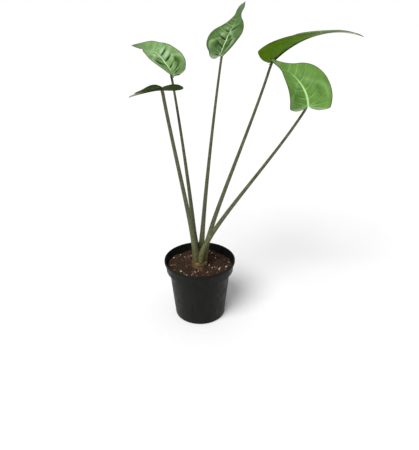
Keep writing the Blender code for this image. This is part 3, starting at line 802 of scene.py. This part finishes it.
def pot_profile():
    """The pot's wall from the inside of its floor, up, over the rolled rim and down outside."""
    inner = -POT_WALL
    return (
        (0.0, FLOOR_THICKNESS), (BASE_RADIUS + inner - FLOOR_CORNER, FLOOR_THICKNESS),
        (BASE_RADIUS + inner, FLOOR_THICKNESS + FLOOR_CORNER), (NECK_RADIUS + inner, COLLAR_Z),
        (COLLAR_RADIUS + inner, COLLAR_Z + POT_WALL),
        (RIM_RADIUS - RIM_DEPTH / 2, POT_HEIGHT - RIM_DEPTH / 5),
        (RIM_RADIUS - RIM_DEPTH / 3, POT_HEIGHT), (RIM_RADIUS - RIM_DEPTH / 8, POT_HEIGHT),
        (RIM_RADIUS, POT_HEIGHT - RIM_DEPTH / 5), (RIM_RADIUS, POT_HEIGHT - RIM_DEPTH),
        (COLLAR_RADIUS + POT_WALL, POT_HEIGHT - RIM_DEPTH), (COLLAR_RADIUS, COLLAR_Z),
        (NECK_RADIUS, COLLAR_Z - POT_WALL), (BASE_RADIUS, POT_WALL),
        (BASE_RADIUS - POT_WALL, 0.0), (0.0, 0.0))


def sharp_edges(bm, degrees):
    return [edge for edge in bm.edges
            if len(edge.link_faces) == 2 and edge.calc_face_angle() > math.radians(degrees)]


def make_drain_cutter():
    """Pegs where the drain holes go through the pot's floor."""
    bm = bmesh.new()
    for number in range(DRAIN_HOLES):
        angle = math.tau * number / DRAIN_HOLES
        peg = bmesh.ops.create_cone(bm, cap_ends=True, segments=32, radius1=DRAIN_RADIUS,
                                    radius2=DRAIN_RADIUS, depth=6 * FLOOR_THICKNESS)
        place = Vector((math.cos(angle), math.sin(angle), 0.0)) * DRAIN_RING_RADIUS
        bmesh.ops.translate(bm, verts=peg["verts"], vec=place)
    cutter = bpy.data.objects.new("drain_hole_cutter", mesh_from(bm, "drain_holes"))
    bpy.context.scene.collection.objects.link(cutter)
    return cutter


def make_pot(material):
    """The pot, its edges rounded as a mould leaves them, with the drain holes cut through."""
    bm = spun(pot_profile(), POT_SIDES)
    bmesh.ops.bevel(bm, geom=sharp_edges(bm, 15), offset=MOULDED_EDGE, segments=3, profile=0.5,
                    affect="EDGES", material=-1, clamp_overlap=True)
    pot = finish_piece("plastic_pot", mesh_from(bm, "plastic_pot"), "nursery_pot",
                       [material])
    cutter = make_drain_cutter()
    cut = pot.modifiers.new("drain holes", "BOOLEAN")
    cut.operation = "DIFFERENCE"
    cut.object = cutter
    graph = bpy.context.evaluated_depsgraph_get()
    applied = bpy.data.meshes.new_from_object(pot.evaluated_get(graph))
    pot.modifiers.clear()
    pot.data = applied
    applied.shade_smooth()
    applied.set_sharp_from_angle(angle=math.radians(40))
    bpy.data.objects.remove(cutter, do_unlink=True)
    return pot


def make_pot_plastic():
    """Black recycled polypropylene, moulded: satin, with faint flow marks up the wall and a film
    of dried soil water."""
    material, tree = new_material("black_polypropylene")
    place = add(tree, "TexCoord").outputs["Object"]
    drawn = add(tree, "Mapping", {"Vector": place, "Scale": (1.0, 1.0, 0.08)})
    flow = add(tree, "TexNoise", {"Vector": drawn, "Scale": 1 / 0.006, "Detail": 4.0})
    film = add(tree, "TexNoise", {"Vector": place, "Scale": 1 / 0.011, "Detail": 5.0,
                                  "Roughness": 0.65})
    grain = add(tree, "TexNoise", {"Vector": place, "Scale": 1 / 0.0006})
    flowing = add(tree, "MapRange", {"Value": flow, "From Min": 0.35, "From Max": 0.7})
    filmed = add(tree, "MapRange", {"Value": film, "From Min": 0.56, "From Max": 0.78,
                                    "To Max": 0.4})
    black = layered(tree, paint("#0e0f0c"), ((flowing, "#181915"), (filmed, "#2b2922")))
    rough = add(tree, "MapRange", {"Value": film, "From Min": 0.35, "From Max": 0.7,
                                   "To Min": 0.38, "To Max": 0.6})
    return finished(material, black, rough, gloss=0.10, bumps=(grain, 0.00005, 0.5))


def wall_radius(height):
    """The radius of the soil's side, inside the pot's wall, at a height."""
    clear = POT_WALL + SOIL_GAP
    if height > COLLAR_Z + POT_WALL:
        share = (height - COLLAR_Z - POT_WALL) / (POT_HEIGHT - COLLAR_Z - POT_WALL)
        top = RIM_RADIUS - RIM_DEPTH / 2 - SOIL_GAP
        return COLLAR_RADIUS - clear + share * (top - COLLAR_RADIUS + clear)
    share = (height - FLOOR_THICKNESS) / (COLLAR_Z - FLOOR_THICKNESS)
    return BASE_RADIUS - clear + share * (NECK_RADIUS - BASE_RADIUS)


def soil_height(x, y):
    """The soil's top: the solid's lumps, with crumbs of a few millimetres on them."""
    place = Vector((x, y, SOIL_Z))
    fine = sum(height * noise.noise(place / pitch) for height, pitch in FINE_LUMPS)
    return SOIL_Z + SOIL_LUMP * noise.noise(place / LUMP_PITCH) + fine


def make_soil(material):
    """The potting soil, its top lumpy and crumbled."""
    edge = wall_radius(SOIL_Z)
    step_z = COLLAR_Z + POT_WALL + GAP
    floor_z = FLOOR_THICKNESS + GAP
    rings = [(edge * ring / SOIL_RINGS, SOIL_Z) for ring in range(SOIL_RINGS + 1)]
    profile = [*rings, (COLLAR_RADIUS - POT_WALL - 2 * GAP, step_z),
               (wall_radius(COLLAR_Z), COLLAR_Z), (wall_radius(floor_z), floor_z), (0.0, floor_z)]
    bm = spun(profile, SOIL_SIDES)
    for vertex in bm.verts:
        if vertex.co.z > SOIL_Z - MERGE:
            vertex.co.z = soil_height(vertex.co.x, vertex.co.y)
    return finish_piece("potting_mix", mesh_from(bm, "potting_mix"), "potting_soil",
                        [material])


def scatter(name, material, count, sizes, flatness, sink, detail, seed):
    """Grains of one kind strewn over the soil, joined in one piece. sink is how deep each one
    sits, as a share of its size."""
    draw = random.Random(seed)
    bm = bmesh.new()
    for _ in range(count):
        size = draw.uniform(*sizes) * draw.uniform(0.6, 1.0)
        inside, outside = STEM_RADIUS + GRAIN_CLEARANCE, wall_radius(SOIL_Z) - size
        reach = math.sqrt(draw.uniform(inside**2, outside**2))
        angle = draw.uniform(0.0, math.tau)
        x, y = reach * math.cos(angle), reach * math.sin(angle)
        turn = Matrix.Rotation(draw.uniform(0, math.tau), 4, "Z")
        turn = turn @ Matrix.Rotation(draw.gauss(0.0, 0.35), 4, "X")
        shape = Matrix.Diagonal((1.0, draw.uniform(0.55, 0.9), draw.uniform(*flatness), 1.0))
        height = soil_height(x, y) + size * (draw.uniform(*flatness) - sink)
        place = Matrix.Translation((x, y, height)) @ turn @ shape
        grain = bmesh.ops.create_icosphere(bm, subdivisions=detail, radius=size)
        own_noise = Vector((x, y, angle)) * 90
        for vertex in grain["verts"]:
            vertex.co *= 1 + GRAIN_LUMP * noise.noise(vertex.co / size * 1.3 + own_noise)
            vertex.co = place @ vertex.co
    return finish_piece(name, mesh_from(bm, name), None, [material])


def make_soil_skin():
    """Damp peat: nearly black brown, matt, with fibres and lighter dry crumbs."""
    material, tree = new_material("damp_peat")
    place = add(tree, "TexCoord").outputs["Object"]
    drawn = add(tree, "Mapping", {"Vector": place, "Scale": (1.0, 0.25, 1.0)})
    crumbs = add(tree, "TexNoise", {"Vector": place, "Scale": 1 / 0.0022, "Detail": 5.0,
                                    "Roughness": 0.7})
    fibres = add(tree, "TexNoise", {"Vector": drawn, "Scale": 1 / 0.0009, "Detail": 4.0})
    dry = add(tree, "MapRange", {"Value": crumbs, "From Min": 0.38, "From Max": 0.66})
    fibrous = add(tree, "MapRange", {"Value": fibres, "From Min": 0.60, "From Max": 0.72,
                                     "To Max": 0.6})
    brown = layered(tree, paint("#1d1510"), ((dry, "#4a3526"), (fibrous, "#6a5038")))
    return finished(material, brown, 0.9, gloss=0.2, bumps=(crumbs, 0.0008, 0.8))


def make_bark():
    """Pine bark chips: red-brown outside, with dark cracks."""
    material, tree = new_material("pine_bark")
    place = add(tree, "TexCoord").outputs["Object"]
    drawn = add(tree, "Mapping", {"Vector": place, "Scale": (1.0, 0.4, 1.0)})
    cracks = add(tree, "TexNoise", {"Vector": drawn, "Scale": 1 / 0.0016, "Detail": 5.0,
                                    "Roughness": 0.7})
    whole = add(tree, "MapRange", {"Value": cracks, "From Min": 0.36, "From Max": 0.64})
    brown = layered(tree, paint("#2a1a10"), [(whole, "#6d4a30")])
    return finished(material, brown, 0.8, gloss=0.25, bumps=(cracks, 0.0004, 0.8))


def make_perlite():
    """Perlite: white puffed glass, matt, stained by the soil in its hollows."""
    material, tree = new_material("perlite")
    place = add(tree, "TexCoord").outputs["Object"]
    stains = add(tree, "TexNoise", {"Vector": place, "Scale": 1 / 0.0013, "Detail": 4.0})
    stained = add(tree, "MapRange", {"Value": stains, "From Min": 0.42, "From Max": 0.66})
    white = layered(tree, paint("#d5d0c4"), [(stained, "#8f8472")])
    return finished(material, white, 0.85, gloss=0.3, bumps=(stains, 0.0002, 0.6))


def make_stem(material):
    """The short stem: rings of old leaf scars over a fibrous skin."""
    tip_z = STEM_Z - STEM_DEPTH - STEM_RADIUS + GAP
    steps = [number / STEM_STEPS for number in range(STEM_STEPS + 1)]
    side = [(STEM_RADIUS * (SCAR_RADIUS + SCAR_RISE * abs(math.sin(SCAR_RINGS * math.pi * step))),
             STEM_Z - STEM_SHOULDER - (STEM_DEPTH - STEM_SHOULDER) * step) for step in steps]
    profile = [(0.0, STEM_Z), (STEM_RADIUS * 0.8, STEM_Z), *side, (STEM_RADIUS * 0.5, tip_z),
               (0.0, tip_z)]
    bm = spun(profile, STEM_SIDES)
    for vertex in bm.verts:
        place = Vector((vertex.co.x, vertex.co.y, vertex.co.z * 0.3))
        grow = 1 + FIBRE_RISE * noise.noise(place / FIBRE_WIDTH)
        vertex.co.x *= grow
        vertex.co.y *= grow
    return finish_piece("stem_skin", mesh_from(bm, "stem_skin"), "stem", [material])


def make_stem_skin():
    """The stem's skin: pale brown and fibrous, darker in the scars."""
    material, tree = new_material("fibrous_stem_skin")
    place = add(tree, "TexCoord").outputs["Object"]
    upright = add(tree, "Mapping", {"Vector": place, "Scale": (1.0, 1.0, 0.15)})
    level = add(tree, "Mapping", {"Vector": place, "Scale": (0.2, 0.2, 1.0)})
    fibres = add(tree, "TexNoise", {"Vector": upright, "Scale": 1 / 0.0016, "Detail": 5.0,
                                    "Roughness": 0.7})
    scars = add(tree, "TexNoise", {"Vector": level, "Scale": 1 / 0.004, "Detail": 3.0})
    fibrous = add(tree, "MapRange", {"Value": fibres, "From Min": 0.35, "From Max": 0.68})
    scarred = add(tree, "MapRange", {"Value": scars, "From Min": 0.5, "From Max": 0.62,
                                     "To Max": 0.7})
    brown = layered(tree, paint("#4b3a25"), ((fibrous, "#8a7148"), (scarred, "#33261a")))
    return finished(material, brown, 0.75, gloss=0.25, bumps=(fibres, 0.0005, 0.8))


def make_floor():
    """A wide floor of matt white paper."""
    bm = bmesh.new()
    bmesh.ops.create_circle(bm, cap_ends=True, segments=96, radius=FLOOR_RADIUS)
    bmesh.ops.translate(bm, verts=bm.verts, vec=(0, 0, -GAP))
    mesh = mesh_from(bm, "floor")
    mesh.materials.append(make_paper())
    floor = bpy.data.objects.new("floor", mesh)
    bpy.context.scene.collection.objects.link(floor)


def make_paper():
    """Matt white background paper, with a trace of its fibres."""
    material, tree = new_material("white_paper")
    place = add(tree, "TexCoord").outputs["Object"]
    fibres = add(tree, "TexNoise", {"Vector": place, "Scale": 1 / 0.004, "Detail": 3.0})
    share = add(tree, "MapRange", {"Value": fibres, "From Min": 0.3, "From Max": 0.7})
    white = layered(tree, paint("#f8f8f8"), [(share, "#f4f4f4")])
    return finished(material, white, 0.9, gloss=0.2)


def make_lights():
    """A white studio: an even surround, white to the eye and dimmer as a light, and one large
    soft key light from above, in front and to the left."""
    scene = bpy.context.scene
    scene.world = bpy.data.worlds.new("white_studio")
    scene.world.use_nodes = True
    tree = scene.world.node_tree
    seen = add(tree, "LightPath").outputs["Is Camera Ray"]
    strength = add(tree, "MapRange", {"Value": seen, "To Min": 0.42})
    background = tree.nodes["Background"]
    background.inputs["Color"].default_value = paint("#ffffff")
    tree.links.new(strength.outputs[0], background.inputs["Strength"])
    lamp = bpy.data.lights.new("key", "SUN")
    lamp.energy = 2.9
    lamp.angle = math.radians(35)
    light = bpy.data.objects.new("key", lamp)
    light.rotation_euler = (math.radians(38), 0.0, math.radians(-32))
    scene.collection.objects.link(light)
    scene.view_settings.view_transform = "Standard"
    scene.view_settings.look = "None"


def make_camera():
    """The camera where the photo was taken from: in front and above, looking down."""
    camera = bpy.data.objects.new("camera", bpy.data.cameras.new("camera"))
    camera.location = CAMERA_PLACE
    camera.rotation_euler = (math.radians(90 - CAMERA_DIP), 0.0, 0.0)
    camera.data.sensor_width = 36.0
    camera.data.lens = 35.2
    bpy.context.scene.collection.objects.link(camera)
    bpy.context.scene.camera = camera


def main():
    make_camera()
    make_lights()
    make_floor()
    blade_skins = [make_upper_skin(), make_under_skin(), make_margin_skin()]
    stalk_skin = make_stalk_skin()
    for leaf in LEAVES:
        make_blade(leaf, blade_skins)
        finish_piece("leaf_stalk_" + leaf.name, stalk_mesh(leaf),
                     "petiole_" + leaf.name, [stalk_skin])
    make_pot(make_pot_plastic())
    peat = make_soil_skin()
    make_soil(peat)
    scatter("peat_crumbs", peat, count=900, sizes=(0.0010, 0.0026), flatness=(0.55, 0.9),
            sink=0.5, detail=1, seed=3)
    scatter("bark_chips", make_bark(), count=70, sizes=(0.0025, 0.0050), flatness=(0.25, 0.45),
            sink=0.15, detail=2, seed=5)
    scatter("perlite_grains", make_perlite(), count=60, sizes=(0.0010, 0.0022),
            flatness=(0.6, 0.9), sink=0.35, detail=2, seed=8)
    make_stem(make_stem_skin())


main()
